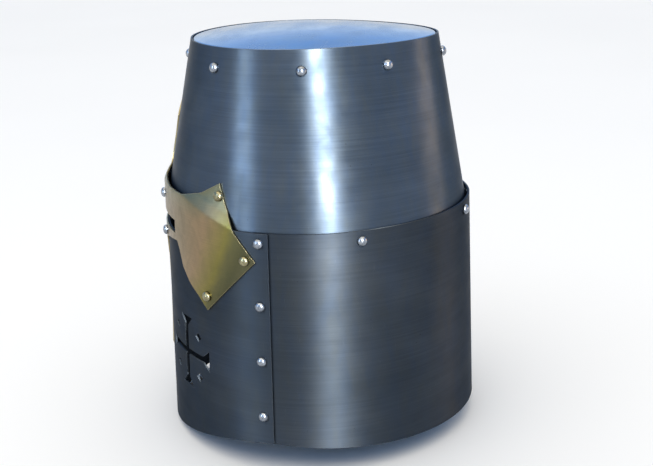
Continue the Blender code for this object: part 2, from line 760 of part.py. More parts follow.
def main():
    for obj in list(bpy.data.objects):
        bpy.data.objects.remove(obj)
    steel = material("brushed_steel", (0.23, 0.26, 0.30), 0.30, 1.0)
    bright = material("rivet_steel", (0.55, 0.58, 0.62), 0.25, 1.0)
    brass = material("brass", (0.47, 0.38, 0.20), 0.35, 1.0)
    leather = material("leather", (0.24, 0.13, 0.07), 0.70, 0.0)
    make_face_plate(steel)
    make_rear_plate(steel)
    make_skull_plate(steel)
    make_crown_plate(steel)
    make_brass_cross(brass)
    make_rivets(bright, brass)
    make_liner_band(leather)
    make_liner_cap(leather)
    make_liner_thong(leather)
    for side in (1, -1):
        make_chin_strap(side, leather, bright)


main()
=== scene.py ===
"""Looks of the great helm: smooth plates, domed rivets, leather liner and chin straps.

The surfaces are the CAD part's own, with the same driving dimensions, at a finer step. Each plate
is made flat, in (arc, depth, height), with its holes cut and its edges eased, and is then rolled
round the helm, so that its shading normals come from the true surface.
"""

import math

import bmesh
import bpy
import numpy as np
from mathutils import Matrix, Vector


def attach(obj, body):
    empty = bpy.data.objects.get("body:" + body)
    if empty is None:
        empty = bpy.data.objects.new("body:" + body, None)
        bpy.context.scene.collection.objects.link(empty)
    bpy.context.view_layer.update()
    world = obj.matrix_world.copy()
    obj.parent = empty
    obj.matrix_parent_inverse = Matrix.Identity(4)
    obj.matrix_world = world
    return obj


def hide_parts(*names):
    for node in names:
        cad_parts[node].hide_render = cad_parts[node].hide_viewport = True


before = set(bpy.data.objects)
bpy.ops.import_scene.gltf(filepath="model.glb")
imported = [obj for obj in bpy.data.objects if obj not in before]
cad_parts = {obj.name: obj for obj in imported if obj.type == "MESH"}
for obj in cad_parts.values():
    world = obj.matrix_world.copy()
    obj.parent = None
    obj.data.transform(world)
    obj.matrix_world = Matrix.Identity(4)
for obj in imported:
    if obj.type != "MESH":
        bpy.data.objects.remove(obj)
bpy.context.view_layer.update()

# --- Dimensions, in metres, as in the CAD part -------------------------------------------------
RIM_Z, FRONT_DIP, REAR_DIP = 0.024, 0.024, 0.009
BROW_Z, TOP_Z, CROWN_RISE = 0.1945, 0.3210, 0.0060
RIM_PLAN = (0.1315, 0.1245, 0.045)
BROW_PLAN = (0.1250, 0.1164, 0.045)
TOP_PLAN = (0.0964, 0.0800, 0.130)
PLAN_POWER = 1.93
SHEET, BRASS_SHEET, LEATHER, GAP = 0.0015, 0.0012, 0.0022, 0.0003
REAR_DEPTH = SHEET + GAP
SKULL_DEPTH = 2 * (SHEET + GAP)
BRASS_DEPTH = -(BRASS_SHEET + GAP)
CROWN_DEPTH = SHEET + GAP
SIDE_EDGE, SIDE_LAP = 0.1650, 0.0125
SKULL_SLACK = 0.0024
FACE_TOP_Z, FACE_TOP_HALF, FACE_SLOPE_END = 0.2105, 0.0800, 0.1370
SKULL_LAP, CROWN_FLANGE = 0.0180, 0.0260
SLIT_Z, SLIT_HEIGHT, SLIT_INNER, SLIT_OUTER = 0.1828, 0.0108, 0.0110, 0.0665
CROSS_ARC, CROSS_Z, CROSS_REACH, CROSS_BAR, CROSS_SERIF = 0.0780, 0.0810, 0.0305, 0.0052, 0.0180
DOT_OFFSET, DOT_SIZE = 0.0175, 0.0056
RIVET_HEAD, RIVET_RISE, RIVET_SHANK, RIVET_TAIL, RIVET_TAIL_RISE = 0.0040, 0.0034, 0.0019, 0.0034, 0.0012
CROWN_RIVETS, CROWN_RIVET_Z, BROW_RIVET_Z = 8, 0.3065, 0.1870
SIDE_RIVET_ARC, SIDE_RIVET_ZS, REAR_RIVET_ARCS = 0.1575, (0.1380, 0.0935, 0.0470), (0.2350, 0.3480)
ARM_RIVETS = {"top": (0.1195, 0.2170), "point": (0.1467, 0.1730), "low": (0.1107, 0.1380)}
INNER_RIVETS = {"brow": (0.0310, 0.2010), "cheek": (0.0360, 0.1710)}
LINER_GAP, BAND_TOP, BAND_FRONT_LOW, BAND_REAR_LOW = 0.0008, 0.2450, 0.2030, 0.1790
TONGUES, CAP_GAP, CAP_RISE = 8, 0.0018, 0.0650
CHAPE, CHAPE_WIDTH, CHAPE_GAP, CHAPE_OVER_RIVET, CHAPE_TAIL = 0.0020, 0.0160, 0.0010, 0.0060, 0.0030
STRAP, STRAP_WIDTH, STRAP_TAIL, STRAP_TIP_Z = 0.0022, 0.0180, 0.0140, 0.0360
RING_TOP_Z, RING_LOW_Z, RING_HALF, RING_WIRE, RING_NIP = 0.1660, 0.1520, 0.0125, 0.0012, 0.0020
BAR_ROOM, BUCKLE_Z, BUCKLE_DROP, PRONG_WIRE, PRONG_SLOT = 0.0016, 0.0660, 0.0180, 0.0010, 0.0019

# --- Dimensions of the fine meshes alone --------------------------------------------------------
FINE_STEP = 0.0025            # width of a plate's facets
EASED = 0.00028               # how much is taken off a plate's edges
BRASS_EASED, BAND_EASED, STRAP_EASED, CAP_EASED = 0.0003, 0.0005, 0.0004, 0.0005
HOLE_ROOM, HOLE_MARGIN = 0.0004, 0.004
ROW_SHARES = (0, 0.25, 0.5, 0.75, 1)
FLAT_ENOUGH = 0.98            # how squarely a face looks outwards that isn't a cut edge
SKULL_FOOT = BROW_Z - SKULL_LAP
REAR_CROWN_RIVET = "crown_rivet_5"      # stands where the skull's two ends meet
STITCH_PITCH, STRAP_STITCH_PITCH, STITCH_INSET = 0.0042, 0.0036, 0.0068
BAND_STITCH_LOW, BAND_STITCH_HIGH, BAND_STITCH_END = 0.004, 0.0135, 0.006
CAP_FOOT, CAP_ARCH, TONGUE_FILL, TONGUE_TAPER, TONGUE_ROOT = 0.010, 0.88, 0.93, 0.45, 0.2
CAP_LEATHER = LEATHER * 0.95
THONG_RADIUS, THONG_INSET, THONG_DROP, THONG_RIPPLE = 0.0013, 0.004, 0.0030, 0.0004
TIP_LENGTH, TIP_SHOULDER, TIP_HALF, TIP_POINT = 0.012, 0.003, 0.0055, 0.0015
STRAP_HOLES, STRAP_HOLE, STRAP_HOLE_START, STRAP_HOLE_PITCH = 5, 0.0017, 0.022, 0.013
PRONG_SLOT_LOW, PRONG_SLOT_HIGH, PRONG_OVERHANG = 0.0118, 0.0098, 0.0015


# --- The helm's surfaces, for arrays of points --------------------------------------------------

def outline(angle, plan, depth):
    """Points of a plan outline at plan angles, moved inwards by depth along its normal."""
    def at(a):
        side = plan[1] * (1 + plan[2] * np.cos(a))
        r = (np.abs(np.cos(a) / plan[0]) ** PLAN_POWER
             + np.abs(np.sin(a) / side) ** PLAN_POWER) ** (-1 / PLAN_POWER)
        return np.stack([r * np.sin(a), -r * np.cos(a)], axis=-1)
    step = 1e-4
    tangent = at(angle + step) - at(angle - step)
    outward = np.stack([tangent[..., 1], -tangent[..., 0]], axis=-1)
    outward /= np.linalg.norm(outward, axis=-1, keepdims=True)
    points = at(angle)
    outward *= np.sign((outward * points).sum(axis=-1, keepdims=True))
    return points - np.asarray(depth)[..., None] * outward


ANGLES = np.linspace(0, math.pi, 1441)
BROW_POINTS = outline(ANGLES, BROW_PLAN, 0.0)
ARCS = np.concatenate([[0], np.cumsum(np.linalg.norm(np.diff(BROW_POINTS, axis=0), axis=1))])
HALF_ROUND = float(ARCS[-1])


def folded(arc):
    rest = np.abs(arc) % (2 * HALF_ROUND)
    return np.minimum(rest, 2 * HALF_ROUND - rest)


def angle_of(arc):
    past = np.abs(arc) > HALF_ROUND
    angle = np.interp(folded(arc), ARCS, ANGLES)
    return np.sign(arc) * np.where(past, 2 * math.pi - angle, angle)


def arc_at(angle):
    rest = min(angle, 2 * math.pi - angle)
    arc = float(np.interp(rest, ANGLES, ARCS))
    return arc if angle <= math.pi else -arc


def raised(flat_points, z):
    return np.concatenate([flat_points, np.broadcast_to(z, flat_points.shape[:-1])[..., None]], axis=-1)


def lower_wall(arc, depth, z):
    share = (z - RIM_Z) / (BROW_Z - RIM_Z)
    plan = [low + share * (high - low) for low, high in zip(RIM_PLAN, BROW_PLAN)]
    return raised(outline(angle_of(arc), plan, depth), z)


def face_wall(arc, depth, z):
    return lower_wall(arc, depth, z)


def rear_wall(arc, depth, z):
    return lower_wall(arc, REAR_DEPTH + depth, z)


def face_top(arc):
    past = (folded(arc) - FACE_TOP_HALF) / (FACE_SLOPE_END - FACE_TOP_HALF)
    return FACE_TOP_Z + np.clip(past, 0, 1) * (BROW_Z - FACE_TOP_Z)


def skull_depth(arc):
    past = np.maximum(folded(arc) - 0.25, 0.0) / (HALF_ROUND - 0.25)
    return SKULL_DEPTH + SKULL_SLACK * past ** 2 * (3 - 2 * past)


def skull_wall(arc, depth, z):
    kink = face_top(arc)
    below = lower_wall(arc, skull_depth(arc) + depth, np.minimum(z, kink))
    share = np.maximum((z - kink) / (TOP_Z - kink), 0.0)[..., None]
    top = raised(outline(angle_of(arc), TOP_PLAN, depth), TOP_Z)
    return below + share * (top - below)


def brass_wall(arc, depth, z):
    on_plate = lower_wall(arc, BRASS_DEPTH + depth, z)
    share = np.clip((z - face_top(arc)) / 0.010, 0, 1)[..., None]
    return on_plate + share * (skull_wall(arc, BRASS_DEPTH + depth, z) - on_plate)


def liner_wall(arc, depth, z):
    return skull_wall(arc, SHEET + LINER_GAP + depth, z)


def rim(arc):
    short = folded(arc)
    front = RIM_Z - FRONT_DIP * np.cos(math.pi / 2 * np.minimum(short / SIDE_EDGE, 1)) ** 1.7
    past = (HALF_ROUND - short) / (HALF_ROUND - SIDE_EDGE)
    return np.where(short < SIDE_EDGE, front, RIM_Z - REAR_DIP * (1 - past ** 2))


def unit(vectors):
    return vectors / np.maximum(np.linalg.norm(vectors, axis=-1, keepdims=True), 1e-12)


def wall_frames(wall, arc, depth, z):
    """The along, outward and up directions of a wall at each point."""
    step = 1e-4
    along = unit(wall(arc + step, depth, z) - wall(arc - step, depth, z))
    up = unit(wall(arc, depth, z + step) - wall(arc, depth, z - step))
    outward = unit(np.cross(along, up))
    inner = wall(arc, depth + step, z) - wall(arc, depth - step, z)
    outward *= -np.sign((outward * inner).sum(axis=-1, keepdims=True))
    return along, outward, unit(up - (up * along).sum(axis=-1, keepdims=True) * along)


def stand(wall, arc, z, depth=0.0):
    """One point on a wall and the way out of it, as vectors."""
    place = [np.array([value]) for value in (arc, depth, z)]
    return Vector(wall(*place)[0]), Vector(wall_frames(wall, *place)[1][0])


# --- Making pieces -----------------------------------------------------------------------------

def add_object(name, bm, finish=None):
    mesh = bpy.data.meshes.new(name)
    bm.to_mesh(mesh)
    bm.free()
    obj = bpy.data.objects.new(name, mesh)
    bpy.context.scene.collection.objects.link(obj)
    mesh.shade_smooth()
    if finish:
        mesh.materials.append(finish)
    return obj


def settle(obj):
    """Replaces an object's mesh with its evaluated one and drops the modifiers."""
    bpy.context.view_layer.update()
    graph = bpy.context.evaluated_depsgraph_get()
    mesh = bpy.data.meshes.new_from_object(obj.evaluated_get(graph))
    obj.modifiers.clear()
    obj.data = mesh
    return obj


def ease(obj, width):
    """Takes the sharpness off an object's edges."""
    bevel = obj.modifiers.new("eased edges", "BEVEL")
    bevel.width = width
    bevel.segments = 2
    bevel.limit_method = "ANGLE"
    bevel.angle_limit = math.radians(50)
    return bevel


def join_piece(obj, body, slot, *nodes):
    """Lets a finished piece ride on its body and stand for its CAD nodes."""
    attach(obj, body)
    if nodes:
        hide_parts(*nodes)


def join_rings(bm, rings):
    """Faces between each ring of vertices and the next. A ring of one vertex closes an end."""
    for low, high in zip(rings, rings[1:]):
        count = max(len(low), len(high))
        for i in range(count):
            k = (i + 1) % count
            corners = [low[i % len(low)], low[k % len(low)], high[k % len(high)], high[i % len(high)]]
            bm.faces.new(list(dict.fromkeys(corners)))


def flat_sheet(name, arcs, rows, thickness):
    """A flat sheet of (arc, depth, height) points, its rows at heights or functions of the arc."""
    bm = bmesh.new()
    arcs = np.asarray(arcs)
    heights = [np.broadcast_to(row(arcs) if callable(row) else row, arcs.shape) for row in rows]
    outer, inner = [[[bm.verts.new((s, depth, heights[j][i])) for j in range(len(rows))]
                     for i, s in enumerate(arcs)] for depth in (0.0, thickness)]
    columns, last = len(arcs) - 1, len(rows) - 1
    for i in range(columns):
        for j in range(last):
            bm.faces.new((outer[i][j], outer[i + 1][j], outer[i + 1][j + 1], outer[i][j + 1]))
            bm.faces.new((inner[i][j], inner[i][j + 1], inner[i + 1][j + 1], inner[i + 1][j]))
        for j in (0, last):
            bm.faces.new((outer[i][j], inner[i][j], inner[i + 1][j], outer[i + 1][j]))
    for j in range(last):
        for i in (0, columns):
            bm.faces.new((outer[i][j], outer[i][j + 1], inner[i][j + 1], inner[i][j]))
    bmesh.ops.recalc_face_normals(bm, faces=bm.faces)
    return add_object(name, bm)


def prisms(outlines, thickness):
    """One cutter made of outlines of (arc, height) points, each driven through the sheet."""
    bm = bmesh.new()
    for points in outlines:
        front, back = [[bm.verts.new((s, y, z)) for s, z in points]
                       for y in (-0.001, thickness + 0.001)]
        bm.faces.new(front)
        bm.faces.new(back)
        for i in range(len(points)):
            k = (i + 1) % len(points)
            bm.faces.new((front[i], front[k], back[k], back[i]))
    bmesh.ops.recalc_face_normals(bm, faces=bm.faces)
    return add_object("cutter", bm)


def fold(centre, radius, start, stop, count=14):
    """Points along an arc, from one angle in degrees to another."""
    turns = [math.radians(start + (stop - start) * i / count) for i in range(count + 1)]
    return [(centre[0] + radius * math.cos(t), centre[1] + radius * math.sin(t)) for t in turns]


def round_hole(arc, z, radius, sides=20):
    return fold((arc, z), radius, 0, 360, sides)[:-1]


def cut_out(sheet, outlines, thickness, operation="DIFFERENCE"):
    cutter = prisms(outlines, thickness)
    boolean = sheet.modifiers.new("cut", "BOOLEAN")
    boolean.operation = operation
    boolean.object = cutter
    settle(sheet)
    bpy.data.objects.remove(cutter)


def gathered(items, key, width, kind=np.float32):
    """One value of each of a mesh's items, as rows of an array."""
    values = np.empty(len(items) * width, kind)
    items.foreach_get(key, values)
    return values.reshape(-1, width)


def roll(sheet, wall, finish, eased=EASED):
    """Eases a flat sheet's edges and rolls it, with normals from the wall's own directions."""
    bm = bmesh.new()
    bm.from_mesh(sheet.data)
    bmesh.ops.remove_doubles(bm, verts=bm.verts, dist=1e-6)
    bmesh.ops.dissolve_degenerate(bm, edges=bm.edges, dist=1e-6)
    bm.to_mesh(sheet.data)
    bm.free()
    ease(sheet, eased).harden_normals = True
    sheet.data.shade_smooth()
    settle(sheet)
    mesh = sheet.data
    flat = gathered(mesh.vertices, "co", 3).astype(float)
    corners = gathered(mesh.loops, "vertex_index", 1, np.int32)[:, 0]
    normals = gathered(mesh.corner_normals, "vector", 3).astype(float)
    sides = gathered(mesh.polygons, "normal", 3)
    arc, depth, z = flat.T
    along, outward, up = wall_frames(wall, arc, depth, z)
    turned = (normals[:, :1] * along[corners] - normals[:, 1:2] * outward[corners]
              + normals[:, 2:] * up[corners])
    mesh.vertices.foreach_set("co", wall(arc, depth, z).astype(np.float32).ravel())
    # Cut and eased edge faces are marked so that the finishes paint them lighter: partly wear, partly a
    # painted highlight along the plate edges.
    wear_and_highlight_faces = mesh.attributes.new("edge_wear", "FLOAT", "FACE")
    wear_and_highlight_faces.data.foreach_set("value", (np.abs(sides[:, 1]) < FLAT_ENOUGH).astype(np.float32))
    uv = mesh.uv_layers.new(name="flat")
    uv.data.foreach_set("uv", flat[corners][:, [0, 2]].astype(np.float32).ravel())
    mesh.update()
    mesh.normals_split_custom_set(unit(turned).astype(np.float32))
    mesh.materials.clear()
    mesh.materials.append(finish)
    return sheet


def steps(low, high, size):
    return np.linspace(low, high, max(round((high - low) / size), 1) + 1)


# --- Materials ---------------------------------------------------------------------------------

class Shader:
    """A new material with short ways of adding and joining its nodes."""

    def __init__(self, name, roughness, metallic, **values):
        self.made = bpy.data.materials.new(name)
        self.made.use_nodes = True
        self.tree = self.made.node_tree
        self.main = self.tree.nodes["Principled BSDF"]
        self.main.inputs["Roughness"].default_value = roughness
        self.main.inputs["Metallic"].default_value = metallic
        for key, value in values.items():
            self.main.inputs[key.replace("_", " ")].default_value = value

    def node(self, kind, settings=None, **inputs):
        made = self.tree.nodes.new("ShaderNode" + kind)
        for key, value in (settings or {}).items():
            setattr(made, key, value)
        for key, value in inputs.items():
            by_number = key.startswith("i")
            socket = made.inputs[int(key[1:]) if by_number else key.replace("_", " ")]
            if isinstance(value, bpy.types.NodeSocket):
                self.tree.links.new(value, socket)
            else:
                socket.default_value = value
        return made

    def where(self, layer, scale=(1, 1, 1)):
        """Coordinates from a UV layer in metres, or the object's own, scaled along each axis."""
        if layer:
            source = self.node("UVMap", {"uv_map": layer}).outputs[0]
        else:
            source = self.node("TexCoord").outputs["Object"]
        return self.node("Mapping", Vector=source, Scale=scale).outputs[0]

    def noise(self, where, scale, detail=4.0, roughness=0.55, distortion=0.0):
        return self.node("TexNoise", Vector=where, Scale=scale, Detail=detail, Roughness=roughness,
                         Distortion=distortion).outputs["Fac"]

    def ramp(self, value, *stops):
        made = self.node("ValToRGB", i0=value)
        band = made.color_ramp
        while len(band.elements) < len(stops):
            band.elements.new(0.5)
        for element, (position, colour) in zip(band.elements, stops):
            element.position = position
            element.color = (*(colour if hasattr(colour, "__len__") else (colour,) * 3), 1)
        return made.outputs[0]

    def mix(self, share, first, second, blend="MIX"):
        made = self.node("Mix", {"data_type": "RGBA", "blend_type": blend}, i0=share)
        for socket, value in ((made.inputs[6], first), (made.inputs[7], second)):
            if isinstance(value, bpy.types.NodeSocket):
                self.tree.links.new(value, socket)
            else:
                socket.default_value = (*value, 1)
        return made.outputs[2]

    def sums(self, operation, first, second):
        return self.node("Math", {"operation": operation}, i0=first, i1=second).outputs[0]

    def times(self, first, second):
        return self.sums("MULTIPLY", first, second)

    def tinted(self, share, base, tint):
        return self.mix(share, base, tint, "MULTIPLY")

    # How far the marked edge faces are painted lighter: partly wear, partly a painted highlight.
    def edge_wear(self, share):
        return self.times(self.node("Attribute", {"attribute_name": "edge_wear"}).outputs["Fac"], share)

    def put(self, socket, value):
        self.tree.links.new(value, self.main.inputs[socket])

    def bump(self, height, strength, distance, below=None):
        made = self.node("Bump", Height=height, Strength=strength, Distance=distance)
        if below:
            self.tree.links.new(below, made.inputs["Normal"])
        return made.outputs[0]

    def brushed_along(self):
        """Turns the gloss so that it stretches across brushing that runs round the helm."""
        tangent = self.node("Tangent", {"direction_type": "RADIAL", "axis": "Z"}).outputs[0]
        self.put("Tangent", tangent)
        self.main.inputs["Anisotropic Rotation"].default_value = 0.25


def steel_finish(name, layer, dark, light, rough, seed, brushing=1.0, edge=0.50):
    """Darkened sheet steel, brushed round the helm, with cloudy heat colour, pits and scratches."""
    s = Shader(name, 0.3, 1.0, Anisotropic=0.88 * brushing, Specular_Tint=(edge, edge, edge, 1))
    s.brushed_along()
    clouds = s.noise(s.where(layer), 9.0 + seed, 3.0)
    blotch = s.noise(s.where(layer, (6, 2, 3)), 14.0 + seed, 5.0, 0.6, 0.4)
    base = s.ramp(clouds, (0.30, dark), (0.72, light))
    tint = s.ramp(blotch, (0.35, (0.92, 0.96, 1.05)), (0.70, (1.06, 1.0, 0.92)))
    base = s.tinted(0.8, base, tint)
    lines = s.noise(s.where(layer, (12, 1900, 1900)), 1.0, 3.0, 0.7)
    coarse = s.noise(s.where(layer, (5, 420, 420)), 1.0, 2.0, 0.6)
    base = s.tinted(0.42 * brushing, base, s.ramp(lines, (0.30, 0.72), (0.75, 1.22)))
    base = s.tinted(0.35 * brushing, base, s.ramp(coarse, (0.30, 0.75), (0.70, 1.15)))
    scratch = s.noise(s.where(layer, (90, 9, 40)), 7.0 + seed, 2.0, 0.5, 1.6)
    scratch = s.ramp(scratch, (0.700, 0.0), (0.712, 1.0), (0.724, 0.0))
    base = s.mix(s.times(scratch, 0.10), base, (0.30, 0.32, 0.35))
    pits = s.node("TexVoronoi", Vector=s.where(layer), Scale=75.0 + seed).outputs["Distance"]
    pits = s.ramp(pits, (0.018, 1.0), (0.045, 0.0))
    base = s.mix(s.times(pits, 0.55), base, (0.02, 0.02, 0.025))
    # On rolled plates the edges are painted lighter: partly wear, partly a painted highlight.
    if layer:
        base = s.mix(s.edge_wear(0.25), base, (0.15, 0.17, 0.19))
    s.put("Base Color", base)
    patchy = s.noise(s.where(layer, (2, 3, 3)), 16.0, 4.0)
    gloss = s.ramp(patchy, (0.30, rough - 0.05), (0.75, rough + 0.09))
    s.put("Roughness", s.sums("ADD", gloss, s.times(coarse, 0.05)))
    normal = s.bump(lines, 0.13 * brushing, 0.00005)
    normal = s.bump(s.noise(s.where(layer), 26.0, 2.0), 0.20, 0.0004, normal)
    s.put("Normal", s.bump(pits, -0.35, 0.0002, normal))
    return s.made


def brass_finish():
    """Satin brass with stains, and painted light in slanting zones: a pinkish painted reflection on the face,
    a yellow painted highlight band, and painted shade behind it.
    """
    layer = "flat"
    s = Shader("satin_brass", 0.36, 1.0, Anisotropic=0.35)
    s.brushed_along()
    cloud = s.noise(s.where(layer), 22.0, 5.0, 0.6, 0.5)
    place = s.node("SeparateXYZ", i0=s.where(layer))
    arc, height = s.sums("ABSOLUTE", place.outputs[0], 0.0), place.outputs[1]
    # Painted light in slanting zones: pinkish painted reflection, yellow painted highlight band, then painted
    # shade.
    painted_light_slant = s.sums("SUBTRACT", arc, s.times(height, 0.47))
    painted_light_slant = s.sums("ADD", s.times(painted_light_slant, 6.0), s.times(cloud, 0.10))
    base = s.ramp(s.sums("ADD", painted_light_slant, 0.455),
                  (0.45, (0.235, 0.185, 0.115)), (0.62, (0.265, 0.190, 0.112)),
                  (0.70, (0.220, 0.178, 0.075)), (0.755, (0.190, 0.165, 0.050)),
                  (0.80, (0.115, 0.108, 0.050)), (0.86, (0.080, 0.077, 0.040)), (1.0, (0.105, 0.100, 0.060)))
    # Painted highlight: the brass is painted lighter above the face plate's top, where it turns onto the
    # skull.
    high = s.ramp(s.times(height, 4.0), (0.79, 0.0), (0.86, 1.0))
    base = s.mix(high, base, (0.185, 0.180, 0.115))
    stain = s.noise(s.where(layer, (1.5, 1, 1)), 60.0, 4.0, 0.65, 0.8)
    stained = s.ramp(stain, (0.35, (0.78, 0.79, 0.76)), (0.62, (1.08, 1.04, 0.98)))
    base = s.tinted(0.5, base, stained)
    lines = s.noise(s.where(layer, (30, 1500, 1500)), 1.0, 3.0, 0.7)
    base = s.tinted(0.4, base, s.ramp(lines, (0.3, 0.78), (0.75, 1.2)))
    # Edges painted lighter: partly wear, partly a painted highlight.
    base = s.mix(s.edge_wear(0.7), base, (0.50, 0.42, 0.24))
    s.put("Base Color", base)
    s.put("Roughness", s.ramp(stain, (0.30, 0.46), (0.70, 0.30)))
    normal = s.bump(lines, 0.20, 0.00005)
    s.put("Normal", s.bump(s.noise(s.where(layer), 30.0, 2.0), 0.25, 0.0004, normal))
    return s.made


def hammered_finish(name, colour, dull, rough):
    """Bright metal of rivets and wire: dulled in patches, with small hammer marks."""
    s = Shader(name, rough, 1.0)
    patch = s.noise(s.where(None), 420.0, 4.0, 0.6)
    s.put("Base Color", s.ramp(patch, (0.32, dull), (0.62, colour)))
    s.put("Roughness", s.ramp(patch, (0.30, rough + 0.14), (0.65, rough)))
    marks = s.node("TexVoronoi", {"feature": "SMOOTH_F1"}, Vector=s.where(None),
                   Scale=520.0).outputs["Distance"]
    s.put("Normal", s.bump(marks, 0.22, 0.0004))
    return s.made


def leather_finish(name, dark, light, layer=None):
    """Vegetable-tanned leather: pebbled grain, creases, and darker where it is handled."""
    s = Shader(name, 0.62, 0.0, Specular_IOR_Level=0.42)
    where = s.where(layer)
    tone = s.noise(where, 34.0, 5.0, 0.6)
    grain = s.node("TexVoronoi", {"feature": "DISTANCE_TO_EDGE"}, Vector=where, Scale=900.0)
    pebble = s.ramp(grain.outputs["Distance"], (0.0, 0.0), (0.16, 1.0))
    base = s.ramp(tone, (0.30, dark), (0.72, light))
    base = s.tinted(0.45, base, s.ramp(pebble, (0.0, 0.55), (0.8, 1.1)))
    s.put("Base Color", base)
    s.put("Roughness", s.ramp(tone, (0.3, 0.52), (0.7, 0.74)))
    crease = s.noise(where, 160.0, 4.0, 0.6, 0.8)
    normal = s.bump(pebble, 0.45, 0.00018)
    s.put("Normal", s.bump(crease, 0.35, 0.0004, normal))
    return s.made


def thread_finish():
    s = Shader("linen_thread", 0.8, 0.0)
    twist = s.node("TexWave", {"bands_direction": "DIAGONAL"}, Vector=s.where(None),
                   Scale=900.0, Distortion=1.0).outputs["Fac"]
    s.put("Base Color", s.ramp(twist, (0.2, (0.33, 0.26, 0.17)), (0.8, (0.62, 0.54, 0.40))))
    s.put("Normal", s.bump(twist, 0.4, 0.0002))
    return s.made


# One blued steel painted in three tones for the light each part catches: the lower plates darker, as painted
# shade, the skull in between, and the crown much lighter and bluer, as a painted reflection of the sky.
plate_steel_painted_shade = steel_finish("blued_steel", "flat", (0.040, 0.051, 0.064), (0.062, 0.075, 0.092),
                           rough=0.47, seed=0.0)
skull_steel = steel_finish("blued_steel_skull", "flat", (0.064, 0.085, 0.110), (0.092, 0.116, 0.148),
                           rough=0.38, seed=3.0)
crown_steel_painted_sky = steel_finish("blued_steel_crown", None, (0.20, 0.24, 0.28), (0.25, 0.30, 0.35),
                           rough=0.20, seed=5.0, brushing=0.12, edge=1.0)
brass = brass_finish()
rivet_steel = hammered_finish("rivet_steel", (0.34, 0.37, 0.42), (0.14, 0.16, 0.19), 0.22)
rivet_brass = hammered_finish("rivet_brass", (0.34, 0.31, 0.19), (0.14, 0.125, 0.075), 0.24)
leather = leather_finish("leather", (0.115, 0.055, 0.028), (0.235, 0.125, 0.065), "flat")
cap_leather = leather_finish("cap_leather", (0.13, 0.07, 0.038), (0.26, 0.15, 0.085))
thong_leather = leather_finish("thong_leather", (0.06, 0.033, 0.02), (0.12, 0.07, 0.04))
linen = thread_finish()


# --- Rivets ------------------------------------------------------------------------------------

def rivet_places():
    """Every rivet: name, wall it stands on, arc length, height, grip, and whether it is brass."""
    plates = 2 * SHEET + GAP
    brass_on_plate = BRASS_SHEET + GAP + SHEET
    liner = LINER_GAP + LEATHER
    corner = plates + GAP + SHEET + CHAPE_GAP + CHAPE
    places = [(f"crown_rivet_{i + 1}", skull_wall, arc_at(2 * math.pi * i / CROWN_RIVETS), CROWN_RIVET_Z,
               plates, False) for i in range(CROWN_RIVETS)]
    for side, word in ((1, "left"), (-1, "right")):
        for spot_name, (arc, z) in {**ARM_RIVETS, **INNER_RIVETS}.items():
            grip = brass_on_plate + (liner if spot_name == "top" else 0)
            places.append((f"{word}_brass_rivet_{spot_name}", brass_wall, side * arc, z, grip,
                           spot_name in ARM_RIVETS))
        for i, z in enumerate((BROW_RIVET_Z, *SIDE_RIVET_ZS)):
            places.append((f"{word}_seam_rivet_{i + 1}", face_wall, side * SIDE_RIVET_ARC, z,
                           plates if i else corner, False))
        for i, arc in enumerate(REAR_RIVET_ARCS):
            grip = float(skull_depth(np.float64(arc))) - REAR_DEPTH + SHEET + liner
            places.append((f"{word}_rear_rivet_{i + 1}", rear_wall, side * arc, BROW_RIVET_Z, grip, False))
    return places


RIVETS = rivet_places()


def rivet_holes(wanted):
    """Outlines of the holes for the rivets that a test of (name, wall, height) picks out."""
    return [round_hole(arc, z, RIVET_SHANK + HOLE_ROOM) for name, wall, arc, z, _, _ in RIVETS
            if wanted(name, wall, z)]


def make_rivet(index, name, wall, arc, z, grip, is_brass):
    """A hand-set rivet: domed head, shank and hammered tail, each a little out of round."""
    point, outward = stand(wall, arc, z)
    inside = -(grip + GAP)
    uneven = 0.5 + 0.5 * math.sin(12.9 * index + 1.3)
    rise = RIVET_RISE * (0.90 + 0.10 * uneven)
    power = 0.80 + 0.25 * uneven
    dome = [(RIVET_HEAD * math.cos(math.radians(a)), GAP + rise * math.sin(math.radians(a)) ** power)
            for a in range(0, 90, 9)]
    tail = [(RIVET_TAIL * math.sin(math.radians(a)) ** 0.7,
             inside - RIVET_TAIL_RISE * math.cos(math.radians(a)) ** 0.6) for a in range(15, 90, 15)]
    profile = [(0, inside - RIVET_TAIL_RISE), *tail, (RIVET_TAIL, inside), (RIVET_SHANK, inside),
               (RIVET_SHANK, GAP), (RIVET_HEAD * 0.97, GAP), *dome[1:], (0, GAP + rise)]
    sides = 32
    bm = bmesh.new()
    rings = []
    for radius, height in profile:
        if radius == 0:
            rings.append([bm.verts.new((0, 0, height))])
            continue
        rings.append([bm.verts.new((
            radius * (1 + 0.012 * math.sin(2 * t + index)) * math.cos(t),
            radius * (1 + 0.012 * math.sin(2 * t + index)) * math.sin(t), height))
            for t in (2 * math.pi * i / sides for i in range(sides))])
    join_rings(bm, rings)
    bmesh.ops.recalc_face_normals(bm, faces=bm.faces)
    turn = Matrix.Translation(point) @ outward.to_track_quat("Z", "Y").to_matrix().to_4x4()
    bmesh.ops.transform(bm, matrix=turn, verts=bm.verts)
    rivet = add_object(name + "_head", bm, rivet_brass if is_brass else rivet_steel)
    rivet.data.set_sharp_from_angle(angle=math.radians(50))
    join_piece(rivet, "shell", "brass" if is_brass else "rivet_steel", name)


for number, entry in enumerate(RIVETS):
    make_rivet(number, *entry)


# --- Plates ------------------------------------------------------------------------------------

def slit_outline(side):
    inner, outer = sorted((side * SLIT_INNER, side * SLIT_OUTER))
    low, high = SLIT_Z - SLIT_HEIGHT / 2, SLIT_Z + SLIT_HEIGHT / 2
    return [(inner, low), (outer, low), (outer, high), (inner, high)]


